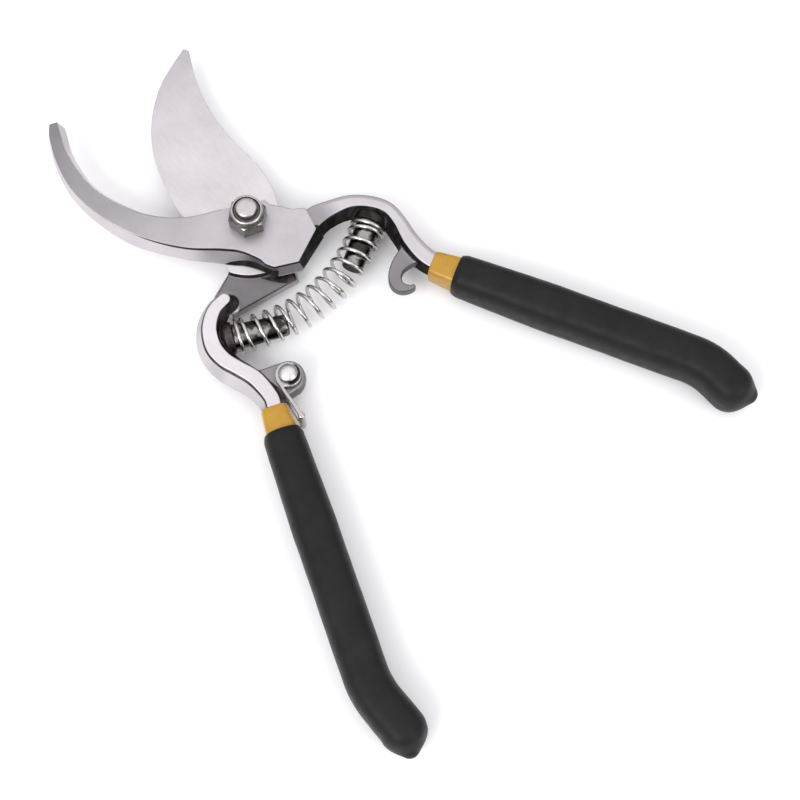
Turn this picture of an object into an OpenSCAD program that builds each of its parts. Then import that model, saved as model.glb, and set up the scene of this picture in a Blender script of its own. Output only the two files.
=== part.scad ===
// Bypass pruner with dipped handles, lying open on its bolt head and its two grips.
// Origin: middle of the bolt head's lower face, on the pivot axis. +Z is the nut side,
// +Y points to the jaws, and the two handles open evenly about -Y.

/* [Pivot] */
// Diameter of the pivot bolt's shank
bolt_d = 6; // [5.6:0.1:6.4]
// Width across the flats of the bolt head and the nut
hex_af = 10; // [9.5:0.1:10.5]
// Thickness of the bolt head
head_h = 4; // [3.6:0.1:4.2]
// Height of the nut's hexagon
nut_hex_h = 4.9; // [4.4:0.1:5.2]
// Height of the nut's round collar
nut_collar_h = 2.2; // [1.8:0.1:2.4]

/* [Arms] */
// Thickness of the blade and its neck at the pivot
blade_t = 3.5; // [3.3:0.1:3.6]
// Thickness of the hook and its flat at the pivot
hook_t = 4.5; // [4:0.1:5]
// Thickness of both shanks, measured along the pivot axis
shank_t = 7; // [6.6:0.1:7.2]
// Width of the bar that runs on inside each grip
tang_w = 6.4; // [6:0.1:6.6]
// How far the blade arm turns from open to closed, in degrees
closing_angle = 42; // [38:1:42]

/* [Grips] */
// Full height of a grip, measured along the pivot axis
grip_h = 15; // [14:0.1:15]
// Full width of a grip along its straight part
grip_w = 12.8; // [12.4:0.1:13.4]
// Thickness of the undercoat where it leaves the grip
undercoat_t = 0.6; // [0.5:0.1:0.8]

/* [Spring] */
// Diameter of the spring wire
wire_d = 1.1; // [0.9:0.1:1.2]
// Outside diameter of the coil
coil_d = 10.6; // [10.4:0.1:10.8]
// Number of turns between the two seats
coil_turns = 15; // [13:1:16]

/* [Latch] */
// Distance from the latch rivet to the bail's crossbar
bail_l = 12.8; // [12.4:0.1:13]
// Diameter of the latch rivet's shank
rivet_d = 3; // [2.6:0.1:3.2]
// Thickness of the bail's legs
bail_t = 1.2; // [1:0.1:1.2]

/* [Hidden] */
$fn = 64;

running_gap = 0.05;
blade_z0 = head_h;
mid_z = blade_z0 + blade_t;
hook_z1 = mid_z + hook_t;
shank_z0 = mid_z - shank_t / 2;
shank_z1 = mid_z + shank_t / 2;
nut_z1 = hook_z1 + nut_hex_h + nut_collar_h;
// How far the bolt's end stands out of the nut
bolt_out = 1.6;
bolt_z1 = nut_z1 + bolt_out;
bolt_r = bolt_d / 2;
hex_r = hex_af / 2 / cos(30);
collar_r = hex_af * 0.49;
// Width and depth of the groove that holds the nut's nylon ring
insert_w = 0.9;
insert_r = bolt_r + insert_w;
insert_h = nut_collar_h - 0.5;
// How far the tightened nut's corners stand from the part's own axes
nut_turn = -22;

// The step on the hook arm that the neck of the blade arm turns inside, and the wider room for
// the far corner of the neck
neck_sweep_r = 19;
neck_end_sweep_r = 24;
// The neck's far side, which meets the hook arm's shank when the jaws close
stop_angle = -96;

// Each handle: where its grip starts, which way it points, and how it bends at its end
// [start point, direction, straight length, bend angle, bend radius, length after the bend]
hook_handle = [[32.5, -52.6], -65.3, 71, -26, 20, 5.2];
blade_handle = [[-36.2, -53], -114.8, 71.5, 20.5, 28, 8.2];
collar_l = 7.5;
cap_l = 6.4;
drip_l = 1.7;
drip_root_r = 4.5;
drip_tip_r = 1.2;

// Spring stubs: [base, direction, length to the tip]
hook_stub = [[27.3, -22.9], -154, 17.1];
blade_stub = [[-28.7, -21.3], -29.4, 18.3];
stub_r0 = 3.9;
stub_r1 = 3.1;
seat_r = 4.7;
seat_h = 2.3;
// The seat runs back into the shank as a cone
seat_back = 1.6;
seat_back_r = 2.5;

// Latch: rivet centre on the blade arm, and direction of the bail at rest
rivet_at = [-23.9, -42.6];
bail_rest_angle = -116;
lug_r = 4.85;
eye_r = 3.7;
crossbar_r = 1;
leg_w = 2;
leg_gap = 0.1;
rivet_head_h = 2;
rivet_head_r = 3;
rivet_top_r = 1.9;

// ---- curves ----

// One point of a smooth curve through b and c, with a and d as their neighbours
function curve_point(a, b, c, d, t) =
    0.5 * (2 * b + (c - a) * t + (2 * a - 5 * b + 4 * c - d) * t * t
           + (3 * b - a - 3 * c + d) * t * t * t);

// A smooth curve through a list of points, with steps pieces between two of them
function curve(p, steps = 4) = [
    for (i = [0 : len(p) - 2], k = [0 : steps - 1])
        curve_point(p[max(i - 1, 0)], p[i], p[i + 1], p[min(i + 2, len(p) - 1)], k / steps),
    p[len(p) - 1]
];

function arc(r, a0, a1, steps = 8) = [
    for (k = [0 : steps]) let (a = a0 + (a1 - a0) * k / steps) r * [cos(a), sin(a)]
];

function reversed(p) = [for (i = [len(p) - 1 : -1 : 0]) p[i]];

function heading(a) = [cos(a), sin(a)];

// Direction of a list of points at its point i
function heading_at(p, i) =
    let (d = p[min(i + 1, len(p) - 1)] - p[max(i - 1, 0)]) d / norm(d);

function left_of(d) = [-d[1], d[0]];

// Outline of a band that follows [x, y, half width] points
function band(p) = concat(
    [for (i = [0 : len(p) - 1]) xy(p[i]) + left_of(heading_at(p_xy(p), i)) * p[i][2]],
    [for (i = [len(p) - 1 : -1 : 0]) xy(p[i]) - left_of(heading_at(p_xy(p), i)) * p[i][2]]
);
function xy(v) = [v[0], v[1]];
function p_xy(p) = [for (v = p) xy(v)];

// Direction and place of a handle's centre line, s millimetres past its grip's start
function bend_l(h) = abs(h[3]) * PI / 180 * h[4];
function handle_l(h) = h[2] + bend_l(h) + h[5];
function handle_angle(h, s) = h[1] + h[3] * min(max((s - h[2]) / bend_l(h), 0), 1);
function handle_point(h, s) =
    let (turned = handle_angle(h, s) - h[1],
         side = sign(h[3]) * h[4],
         on_bend = h[0] + heading(h[1]) * min(s, h[2])
                   + side * (left_of(heading(h[1])) - left_of(heading(h[1] + turned))),
         past = max(s - h[2] - bend_l(h), 0))
    on_bend + heading(h[1] + turned) * past;

// Places along a handle where its sections are drawn
bend_steps = 5;
function stations(h, first, last) = concat(
    first,
    [for (k = [0 : bend_steps]) h[2] + bend_l(h) * k / bend_steps],
    last
);

// ---- sections and sweeps ----

ring_sides = 24;

// Superellipse section, half width a and half height b
function round_section(a, b, power = 2.8) = [
    for (k = [0 : ring_sides - 1])
        let (t = 360 * k / ring_sides, c = cos(t), s = sin(t))
            [a * sign(c) * pow(abs(c), 2 / power), b * sign(s) * pow(abs(s), 2 / power)]
];

// A section set across a handle at s
function placed(h, s, section) =
    let (c = handle_point(h, s), n = left_of(heading(handle_angle(h, s))))
    [for (q = section) [c[0] + n[0] * q[0], c[1] + n[1] * q[0], mid_z + q[1]]];

// Solid through a list of rings with the same number of points each
module loft(rings) {
    n = len(rings[0]);
    last = len(rings) - 1;
    polyhedron(
        points = [for (r = rings, q = r) q],
        faces = concat(
            [[for (k = [0 : n - 1]) k]],
            [for (i = [0 : last - 1], k = [0 : n - 1], half = [0, 1])
                let (a = i * n + k, b = i * n + (k + 1) % n)
                    half == 0 ? [a, a + n, b] : [b, a + n, b + n]],
            [[for (k = [n - 1 : -1 : 0]) last * n + k]]
        ),
        convexity = 6
    );
}

// ---- arms ----

// Hook arm's head seen from above: hook, flat round the pivot, and stop corner
hook_inner = curve([[-18.5, 59.6], [-22.7, 51], [-24.7, 41], [-23.8, 32.2], [-20, 22],
                    [-13, 13.6], [-4, 8.2]]);
hook_outer = curve([[-4.6, -16.4], [-6.6, -9.6], [-12, -3.8], [-19.8, 4.2], [-27.2, 16.5],
                    [-30.9, 29], [-30.8, 41.5], [-27.4, 54], [-23.6, 61]]);
hook_head = concat(
    hook_inner,
    arc(7.8, 104, -4),
    [[11.4, -6.2], [14.4, -8.6], [12.4, -16.2], [2.2, -20.4]],
    hook_outer,
    [[-21.4, 63], [-19.2, 62]]
);

// Blade arm's lower layer seen from above: blade, disc round the pivot, and neck
blade_back = curve([[25.6, 54.6], [20.3, 45.3], [16.4, 34], [14.9, 22], [15, 13], [12.9, 4],
                    [10.2, -1.6]]);
blade_edge = curve([[-13.7, -6.4], [-12.7, -3], [-12.6, 3], [-12.2, 14], [-10.4, 23],
                    [-5.5, 35.3], [1.8, 44.7], [12, 52], [24.9, 56.4]]);
blade_layer = concat(
    blade_back,
    arc(10.4, -20, -75),
    [17.5 * heading(stop_angle + 8), 21.6 * heading(stop_angle + 2), [-22, -16.6], [-21.5, -9]],
    blade_edge
);

// Centre lines of the shanks, [x, y, half width], from the head to the grip's collar
function shank_end(h) =
    let (c = handle_point(h, -collar_l)) [c[0], c[1], tang_w / 2];
hook_shank = curve([[11.9, -13, 4.5], [17.3, -13.5, 3.8], [22.7, -15.5, 3.2],
                    [27.5, -19.2, 3.2], [30.2, -23.4, 3.4], [30.7, -28, 3.4],
                    [29.7, -33.3, 3.4], [28.8, -39.2, 3.4], shank_end(hook_handle)], 3);
blade_shank = curve([[-18.4, -12.4, 3.5], [-23.4, -13.4, 3.2], [-28.4, -15.6, 3.2],
                     [-32.1, -19.2, 3.3], [-34, -23.8, 3.6], [-34, -28.8, 3.8],
                     [-32.6, -34.2, 3.7], [-31.7, -39.6, 3.5], shank_end(blade_handle)], 3);

// How far the bar and its undercoat end before the end of the handle's line
tang_short = 4;
undercoat_short = 3.6;

// The bar inside a grip, drawn through the same places as the undercoat around it
function tang_outline(h, from = -collar_l) =
    let (st = stations(h, [from], [handle_l(h) - tang_short]), w = tang_w / 2) concat(
        [for (s = st) handle_point(h, s) + left_of(heading(handle_angle(h, s))) * w],
        [for (s = reversed(st)) handle_point(h, s) - left_of(heading(handle_angle(h, s))) * w]
    );

module layer(outline, z0, z1) {
    translate([0, 0, z0]) linear_extrude(z1 - z0) polygon(outline);
}

module stub(s) {
    translate([s[0][0], s[0][1], mid_z]) rotate([0, 0, s[1]]) rotate([0, 90, 0]) {
        translate([0, 0, -seat_back]) cylinder(h = seat_back, r1 = seat_back_r, r2 = seat_r);
        cylinder(h = seat_h, r = seat_r);
        cylinder(h = s[2], r1 = stub_r0, r2 = stub_r1);
    }
}

// How far the tool of a cut reaches past the faces that it cuts
over = 1;

module pivot_bore() {
    translate([0, 0, -over]) cylinder(h = bolt_z1 + 2 * over, r = bolt_r + running_gap);
}

// Small hook on the hook arm's shank that the bail's crossbar drops into
catch_t = 3.5;
catch_line = curve([[27.5, -39.3, 3.4], [24.4, -39.4, 2.8], [21.6, -40, 2.2], [19.2, -41.6, 1.9],
                    [18.1, -43.7, 1.8], [18.4, -45.6, 1.5], [19.6, -46.9, 1], [20.6, -47.3, 0.7]], 4);

module hook_arm() {
    color("silver") difference() {
        union() {
            layer(hook_head, mid_z, hook_z1);
            difference() {
                layer(band(hook_shank), shank_z0, shank_z1);
                cylinder(h = mid_z, r = neck_sweep_r);
                neck_end_swept();
            }
            layer(tang_outline(hook_handle), shank_z0, shank_z1);
            layer(band(catch_line), mid_z - catch_t / 2, mid_z + catch_t / 2);
            stub(hook_stub);
        }
        pivot_bore();
    }
}

// Room below the hook arm for the far side of the neck, up to where the jaws are closed
module neck_end_swept() {
    closed_angle = stop_angle + 8 + closing_angle;
    layer(concat([[0, 0]], arc(neck_end_sweep_r, stop_angle - 20, closed_angle)), 0, mid_z);
}

module blade_arm() {
    lug = [[-31, -34.8], [-27.6, -35.8], [-22.7, -38.1], rivet_at, [-25.8, -46.9], [-31, -47.4]];
    color("gainsboro") difference() {
        union() {
            layer(blade_layer, blade_z0, mid_z - running_gap);
            layer(band(blade_shank), shank_z0, shank_z1);
            layer(tang_outline(blade_handle), shank_z0, shank_z1);
            layer(lug, shank_z0, shank_z1);
            translate([rivet_at[0], rivet_at[1], shank_z0]) cylinder(h = shank_t, r = lug_r);
            stub(blade_stub);
        }
        pivot_bore();
        translate([rivet_at[0], rivet_at[1], 0]) cylinder(h = shank_z1 + over, r = rivet_d / 2);
    }
}

// ---- pivot ----

// Height and width of the chamfer on the bolt's end, and how far the nylon ring lies below
// the nut's rim
end_h = 0.9;
end_w = 1;
insert_drop = 0.3;

module pivot_bolt() {
    color("lightgrey") {
        cylinder(h = head_h, r = hex_r, $fn = 6);
        cylinder(h = bolt_z1 - end_h, r = bolt_r);
        translate([0, 0, bolt_z1 - end_h]) cylinder(h = end_h, r1 = bolt_r, r2 = bolt_r - end_w);
    }
}

module pivot_nut() {
    color("lightgrey") difference() {
        union() {
            translate([0, 0, hook_z1]) rotate([0, 0, nut_turn])
                cylinder(h = nut_hex_h, r = hex_r, $fn = 6);
            translate([0, 0, hook_z1]) cylinder(h = nut_z1 - hook_z1, r = collar_r);
        }
        translate([0, 0, hook_z1 - over]) cylinder(h = nut_z1, r = bolt_r);
        translate([0, 0, nut_z1 - insert_h]) cylinder(h = nut_z1, r = insert_r);
    }
}

module nut_insert() {
    color("dimgrey") difference() {
        translate([0, 0, nut_z1 - insert_h])
            cylinder(h = insert_h - insert_drop, r = insert_r);
        cylinder(h = bolt_z1, r = bolt_r);
    }
}

// ---- spring ----

// The coil's centre line leaves one stub straight, bends evenly, and meets the other stub
seat_run = 5;
coil_r = (coil_d - wire_d) / 2;
seat_clearance = 0.2;

function on_stub(s, d) = s[0] + heading(s[1]) * d;
coil_start = on_stub(blade_stub, seat_h + seat_clearance + wire_d / 2);
coil_end = on_stub(hook_stub, seat_h + seat_clearance + wire_d / 2);
coil_in = on_stub(blade_stub, seat_run);
coil_out = on_stub(hook_stub, seat_run);

// Where the two stub axes cross, which pulls the middle of the coil outwards
axes_cross = let (d0 = heading(blade_stub[1]), d1 = heading(hook_stub[1]),
                  g = hook_stub[0] - blade_stub[0])
    blade_stub[0] + d0 * cross(g, d1) / cross(d0, d1);
bend_pull = 0.68;
coil_pull_in = coil_in + (axes_cross - coil_in) * bend_pull;
coil_pull_out = coil_out + (axes_cross - coil_out) * bend_pull;

function bezier(a, b, c, d, t) =
    a * pow(1 - t, 3) + b * 3 * t * pow(1 - t, 2) + c * 3 * t * t * (1 - t) + d * pow(t, 3);

path_steps = 24;
coil_path = concat(
    [coil_start],
    [for (k = [0 : path_steps])
        bezier(coil_in, coil_pull_in, coil_pull_out, coil_out, k / path_steps)],
    [coil_end]
);
function run_to(i) = i == 0 ? 0 : run_to(i - 1) + norm(coil_path[i] - coil_path[i - 1]);
path_run = [for (i = [0 : len(coil_path) - 1]) run_to(i)];
path_l = path_run[len(path_run) - 1];

// Point of the coil's centre line at distance d from its start
function path_point(d) = [
    for (k = [0, 1]) lookup(d, [for (i = [0 : len(coil_path) - 1]) [path_run[i], coil_path[i][k]]])
];
function path_heading(d) =
    let (v = path_point(min(d + 1, path_l)) - path_point(max(d - 1, 0))) v / norm(v);

// Distance along the centre line after a number of turns: the end turns lie close together
closed_turns = 1.3;
closed_pitch = wire_d * 1.2;
open_pitch = (path_l - 2 * closed_turns * closed_pitch) / (coil_turns - 2 * closed_turns);
function coil_run(turn) =
    min(turn, closed_turns) * closed_pitch
    + min(max(turn - closed_turns, 0), coil_turns - 2 * closed_turns) * open_pitch
    + max(turn - coil_turns + closed_turns, 0) * closed_pitch;

wire_sides = 8;
turn_steps = 16;

// The wire starts a little below the level of the coil's centre line
start_turn = -0.35;

// Ring of the wire, in the plane through the coil's centre line at that turn
function wire_ring(turn) =
    let (d = coil_run(turn), c = path_point(d), t = path_heading(d), n = left_of(t),
         a = 360 * (turn + start_turn))
    [for (k = [0 : wire_sides - 1])
        let (w = 360 * k / wire_sides, r = coil_r + wire_d / 2 * cos(w), along = -wire_d / 2 * sin(w))
            [c[0] + n[0] * r * cos(a) + t[0] * along, c[1] + n[1] * r * cos(a) + t[1] * along,
             mid_z + r * sin(a)]];

module spring() {
    color("whitesmoke") loft([for (k = [0 : coil_turns * turn_steps]) wire_ring(k / turn_steps)]);
}

// ---- latch ----

module at_rivet() {
    translate([rivet_at[0], rivet_at[1], 0]) rotate([0, 0, bail_rest_angle]) children();
}

module bail_leg(z0) {
    translate([0, 0, z0]) difference() {
        union() {
            cylinder(h = bail_t, r = eye_r);
            linear_extrude(bail_t) polygon([[0, -eye_r], [bail_l, -leg_w / 2], [bail_l, leg_w / 2],
                                            [1, leg_w - eye_r]]);
            translate([bail_l, 0, 0]) cylinder(h = bail_t, r = leg_w / 2);
        }
        translate([0, 0, -over]) cylinder(h = bail_t + 2 * over, r = rivet_d / 2 + running_gap);
    }
}

lower_leg_z0 = shank_z0 - leg_gap - bail_t;
upper_leg_z0 = shank_z1 + leg_gap;

module latch_bail() {
    color("silver") at_rivet() {
        bail_leg(lower_leg_z0);
        bail_leg(upper_leg_z0);
        translate([bail_l, 0, lower_leg_z0])
            cylinder(h = upper_leg_z0 + bail_t - lower_leg_z0, r = crossbar_r);
    }
}

module latch_rivet() {
    head_z0 = lower_leg_z0 - leg_gap - rivet_head_h;
    head_z1 = upper_leg_z0 + bail_t + leg_gap;
    color("silver") translate([rivet_at[0], rivet_at[1], 0]) {
        translate([0, 0, head_z0]) cylinder(h = head_z1 + rivet_head_h - head_z0, r = rivet_d / 2);
        translate([0, 0, head_z0]) cylinder(h = rivet_head_h, r1 = rivet_top_r, r2 = rivet_head_r);
        translate([0, 0, head_z1]) cylinder(h = rivet_head_h, r1 = rivet_head_r, r2 = rivet_top_r);
    }
}

// ---- dipped handles ----

// Undercoat: [place, half width, half height], flaring where it goes into the grip
function undercoat_places(h) =
    let (w = tang_w / 2 + undercoat_t, t = shank_t / 2 + undercoat_t)
    concat([[-collar_l, w, t], [-collar_l + 1.5, w + 0.2, t + 0.2], [0, w + 0.9, t + 0.8],
            [6, w + 0.5, t + 0.3]],
           [for (s = stations(h, [], [handle_l(h) - undercoat_short])) [s, w + 0.4, t + 0.2]]);

function undercoat_rings(h) = [
    for (p = undercoat_places(h)) placed(h, p[0], round_section(p[1], p[2], 5))
];

module undercoat(h) {
    color("goldenrod") difference() {
        loft(undercoat_rings(h));
        layer(tang_outline(h, -collar_l - over), shank_z0, shank_z1);
    }
}

// Grip: [place, half width, half height] from its open rim to its rounded end
function grip_places(h) =
    let (w = grip_w / 2, t = grip_h / 2, end = handle_l(h))
    concat([[0, w - 1.2, t - 1.7], [1, w - 0.8, t - 1.2], [12, w - 0.3, t - 0.2], [26, w, t]],
           [for (s = stations(h, [], [end])) [s, w, t]],
           [for (a = [20 : 15 : 80]) [end + cap_l * sin(a), w * cos(a), t * cos(a)]]);

// The drip left by dipping, which points along the straight part of the handle
module drip(h) {
    c = handle_point(h, handle_l(h));
    translate([c[0], c[1], mid_z]) rotate([0, 0, h[1]]) rotate([0, 90, 0])
        cylinder(h = cap_l + drip_l, r1 = drip_root_r, r2 = drip_tip_r);
}

module grip(h) {
    color("#333537") {
        loft(concat(
            reversed([for (p = undercoat_places(h)) if (p[0] >= 0)
                placed(h, p[0], round_section(p[1], p[2], 5))]),
            [for (p = grip_places(h)) placed(h, p[0], round_section(p[1], p[2]))]
        ));
        drip(h);
    }
}

hook_arm();
blade_arm();
pivot_bolt();
pivot_nut();
nut_insert();
spring();
latch_bail();
latch_rivet();
undercoat(hook_handle);  // hook_arm_undercoat
undercoat(blade_handle);  // blade_arm_undercoat
grip(hook_handle);  // hook_arm_grip
grip(blade_handle);  // blade_arm_grip
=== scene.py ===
import math

import bpy
import numpy as np
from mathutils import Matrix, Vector


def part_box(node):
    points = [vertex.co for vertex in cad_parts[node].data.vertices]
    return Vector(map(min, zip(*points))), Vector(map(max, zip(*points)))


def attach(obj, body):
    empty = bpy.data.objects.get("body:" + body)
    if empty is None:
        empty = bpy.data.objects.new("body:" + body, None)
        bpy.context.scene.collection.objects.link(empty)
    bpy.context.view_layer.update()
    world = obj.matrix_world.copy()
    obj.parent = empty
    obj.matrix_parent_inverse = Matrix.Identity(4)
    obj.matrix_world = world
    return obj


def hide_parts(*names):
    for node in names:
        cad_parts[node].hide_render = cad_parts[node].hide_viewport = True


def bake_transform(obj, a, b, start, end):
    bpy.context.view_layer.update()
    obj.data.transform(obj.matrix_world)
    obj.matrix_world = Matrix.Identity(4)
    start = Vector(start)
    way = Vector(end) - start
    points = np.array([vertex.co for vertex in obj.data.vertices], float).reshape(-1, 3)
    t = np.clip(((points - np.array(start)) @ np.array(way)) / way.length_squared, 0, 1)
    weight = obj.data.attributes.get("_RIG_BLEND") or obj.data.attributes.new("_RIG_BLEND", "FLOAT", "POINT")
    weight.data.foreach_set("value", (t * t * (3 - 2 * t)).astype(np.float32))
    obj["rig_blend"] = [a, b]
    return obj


# The looks of an open bypass pruner. All shapes are worked out in millimetres, in the
# frame of the CAD part, and become metres when their mesh is made.
# Each rigid piece is a field, a function of x, y and z that is below zero inside the
# piece and close to the distance in millimetres elsewhere. carve() turns it into a mesh.
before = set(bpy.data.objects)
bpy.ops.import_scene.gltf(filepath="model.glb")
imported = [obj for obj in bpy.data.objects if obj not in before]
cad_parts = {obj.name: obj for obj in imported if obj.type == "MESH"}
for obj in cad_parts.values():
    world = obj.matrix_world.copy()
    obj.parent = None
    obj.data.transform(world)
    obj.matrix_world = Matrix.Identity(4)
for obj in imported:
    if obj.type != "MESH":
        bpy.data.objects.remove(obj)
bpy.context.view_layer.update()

MM = 0.001

# Heights along the pivot axis. The two arms part at MID_Z.
RUNNING_GAP = 0.05
BLADE_Z0, MID_Z, HOOK_Z1 = 4.0, 7.5, 12.0
BLADE_Z1 = MID_Z - RUNNING_GAP
SHANK_Z0, SHANK_Z1 = 4.0, 11.0
NUT_HEX_Z1 = HOOK_Z1 + 4.9
NUT_Z1 = HOOK_Z1 + 7.1
BOLT_Z1 = NUT_Z1 + 2.0

# Bolt and nut. The nut's corners are turned from the part's own axes.
BOLT_R, BOLT_DOME_R = 3.0, 8
NUT_AF, NUT_TURN = 10.0, -22.0
COLLAR_R, INSERT_R, INSERT_DEPTH = 4.9, 3.9, 1.5

# Hook arm's head seen from above, from the tip round to the tip again. BASE is its outline at the
# parting plane and TOP is its outline at the top face, and the walls lean from one to the other.
HOOK_INNER = [(-18.5, 59.6), (-22.7, 51), (-24.7, 41), (-23.8, 32.2), (-20, 22), (-13, 13.6), (-4, 8.2)]
HOOK_INNER_TOP = [(-15.6, 68.3), (-20.1, 60.2), (-24, 51.3), (-25.6, 41), (-24.4, 32.2), (-20.3, 21.8),
                  (-13, 13.5), (-4, 8.1)]
PIVOT_ROUND_R = 7.8
HOOK_FLAT_BASE = [(11.4, -6.2), (14.4, -8.6), (13.2, -17.9), (1.3, -21.3)]
HOOK_FLAT_TOP = [(11.4, -6.2), (14.4, -8.6), (12.2, -15.7), (1.6, -19.7)]
HOOK_OUTER_BASE = [(-5.2, -17.5), (-6.9, -13.6), (-8, -11.2), (-9.7, -8.5), (-12.6, -5.2), (-15, -2.2),
                   (-20.8, 5.2), (-28.2, 18), (-31.3, 31.5), (-31.2, 43.3), (-27.9, 54), (-24, 61.2)]
HOOK_OUTER_TOP = [(-4.6, -16.1), (-5.7, -13.6), (-6.1, -10.7), (-8.2, -5.6), (-11.8, -1.2), (-19.4, 6.8),
                  (-26.6, 19), (-30, 31.5), (-30.3, 43), (-27.5, 53), (-23.6, 60.6)]
HOOK_TIP = [(-21.4, 63), (-19.2, 62)]

# Blade arm's lower layer seen from above. Its neck is lower than the round boss at the pivot.
BLADE_BACK = [(25.6, 54.6), (20.3, 45.3), (16.4, 34), (14.9, 22), (15, 13), (12.9, 4), (10.2, -1.6)]
BLADE_EDGE = [(-13.7, -6.4), (-12.7, -3), (-12.6, 3), (-12.2, 14), (-10.4, 23), (-5.5, 35.3), (1.8, 44.7),
              (12, 52), (24.9, 56.4)]
NECK_ROUND_R = 10.4
NECK_CORNERS = [(0.9, -17.1), (-1.2, -21.1), (-21.8, -16.4), (-21.4, -9)]
NECK_DROP, NECK_LEAN = 1.5, 0.45
NECK_Z1 = BLADE_Z1 - NECK_DROP
DISC_R = 15.3
BEVEL_W, BEVEL_H = 9.0, 3.3

# Room under the hook arm for the neck as the arms close, wider for the neck's far corner
NECK_SWEEP_R, CORNER_SWEEP_R = 19.0, 24.0
CORNER_SWEEP_FROM, CORNER_SWEEP_TO = -116, -44

# Centre lines of the shanks, with half widths: at the parting plane, and at the top face
HOOK_SHANK = [(11.9, -13, 4.5), (17.3, -13.5, 3.9), (22.7, -15.5, 3.4), (27.5, -19.2, 3.4),
              (30.2, -23.4, 3.5), (30.7, -28, 3.5), (29.7, -33.3, 3.5), (28.8, -39.2, 3.5),
              (29.4, -45.8, 3.2), (32.5, -52.6, 2.9)]
HOOK_SHANK_TOP = [(11.4, -12.6, 3.1), (15.5, -12.4, 3), (19.9, -13.3, 2.4), (25.5, -15.7, 1.9),
                  (29.7, -19.9, 1.7), (32, -24.8, 1.7), (31.6, -30.2, 1.8), (29.9, -36.8, 2.2),
                  (29.7, -44.2, 2.4), (32.5, -52.6, 2.2)]
BLADE_SHANK = [(-20.3, -13.9, 2.7), (-23.6, -13.2, 3.6), (-28.6, -15.3, 4), (-32.3, -19.1, 4.2),
               (-34, -23.8, 4.4), (-34, -28.8, 4.4), (-32.6, -34.2, 4.2), (-31.7, -39.6, 3.9),
               (-33, -46.2, 3.3), (-36.2, -53, 2.9)]
BLADE_SHANK_TOP = [(-21.3, -12.9, 1.7), (-25, -13.2, 1.8), (-28.4, -14.9, 1.95), (-31.1, -17.5, 2.05),
                   (-33.3, -21.8, 2.2), (-33.6, -26.4, 2.1), (-32.5, -30.8, 2), (-31.1, -36.4, 2.1),
                   (-31.5, -43.3, 2), (-33.1, -46.8, 2), (-36.2, -53, 2.1)]
RISE_L = 7

# Centre line of the catch, with half widths, and its thickness
CATCH_LINE = [(27.5, -39.2, 3.4), (24.4, -39.1, 2.7), (21.4, -39.7, 2.1), (18.9, -41.3, 1.9),
              (17.9, -43.3, 1.8), (18.3, -45.2, 1.4), (19.6, -46.6, 0.9), (20.8, -47.1, 0.6)]
CATCH_T = 3.5

# Spring stubs: base, direction in degrees, length. The coil sits on the seat at the stub's root.
HOOK_STUB = ((27.3, -22.9), -154, 17.1)
BLADE_STUB = ((-28.7, -21.3), -29.4, 18.3)
STUB_R0, STUB_R1 = 3.9, 3.1
SEAT_R, SEAT_H = 4.7, 2.3

# Handles: start of the grip, direction, straight length, bend, bend radius, length after the bend.
# GRIP and TANG are half widths and half heights. The collar of undercoat starts COLLAR_L before
# the grip and ends COLLAR_REACH inside it.
HOOK_HANDLE = ((32.5, -52.6), -65.3, 71, -26, 20, 5.2)
BLADE_HANDLE = ((-36.2, -53), -114.8, 71.5, 20.5, 28, 8.2)
COLLAR_L, COLLAR_REACH = 7.5, 3
GRIP_W, GRIP_H = 6.4, 7.5
TANG_W, TANG_H = 3.2, 3.5
CAP_L, DRIP_L, DRIP_R = 6.4, 1.7, 2.6

# Latch. The lug's root lies inside the shank, up to the shank's outer side.
RIVET_AT = (-23.9, -42.6)
RIVET_R, RIVET_HEAD_R, RIVET_HEAD_H, RIVET_RIM_H = 1.5, 2.75, 2.2, 1.1
BAIL_ANGLE, BAIL_L, BAIL_T, LEG_GAP = -116, 12.8, 1.2, 0.1
BAIL_LEG = [(0.5, -3.1, 0.5), (2.5, -2.85, 0.45), (5.5, -2.1, 0.5), (9, -1, 0.55), (BAIL_L, 0, 0.7)]
EYE_R = 3.75
LUG_R, LUG_Z1 = 4.9, 10.4
LUG_ROOT, LUG_ROOT_SIDE = (-31, -40.5, 5.6), -32


# ---- curves in the plane ----

def curve(points, steps=10):
    """A smooth curve through a list of points. Columns after x and y go along smoothly too."""
    p = np.array(points, float)
    q = np.vstack([p[:1], p, p[-1:]])
    t = np.arange(steps)[:, None] / steps
    runs = [0.5 * (2 * b + (c - a) * t + (2 * a - 5 * b + 4 * c - d) * t**2 + (3 * b - a - 3 * c + d) * t**3)
            for a, b, c, d in zip(q, q[1:], q[2:], q[3:])]
    return np.vstack([*runs, p[-1:]])


def arc(radius, start, end, steps=24):
    a = np.radians(np.linspace(start, end, steps + 1))
    return radius * np.column_stack([np.cos(a), np.sin(a)])


def heading(angle):
    return np.array([math.cos(math.radians(angle)), math.sin(math.radians(angle))])


def outline_distance(x, y, loop):
    """Distance from each point to a closed outline, negative inside it."""
    nearest = np.full(np.broadcast(x, y).shape, 1e9, np.float32)
    inside = np.zeros(nearest.shape, bool)
    for (ax, ay), (bx, by) in zip(loop, np.roll(loop, -1, axis=0)):
        dx, dy = bx - ax, by - ay
        if dx == dy == 0:
            continue
        t = np.clip(((x - ax) * dx + (y - ay) * dy) / (dx * dx + dy * dy), 0, 1)
        nearest = np.minimum(nearest, (x - ax - t * dx) ** 2 + (y - ay - t * dy) ** 2)
        if ay != by:
            inside ^= ((ay > y) != (by > y)) & (x < dx * (y - ay) / dy + ax)
    return np.sqrt(nearest) * np.where(inside, -1, 1)


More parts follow.
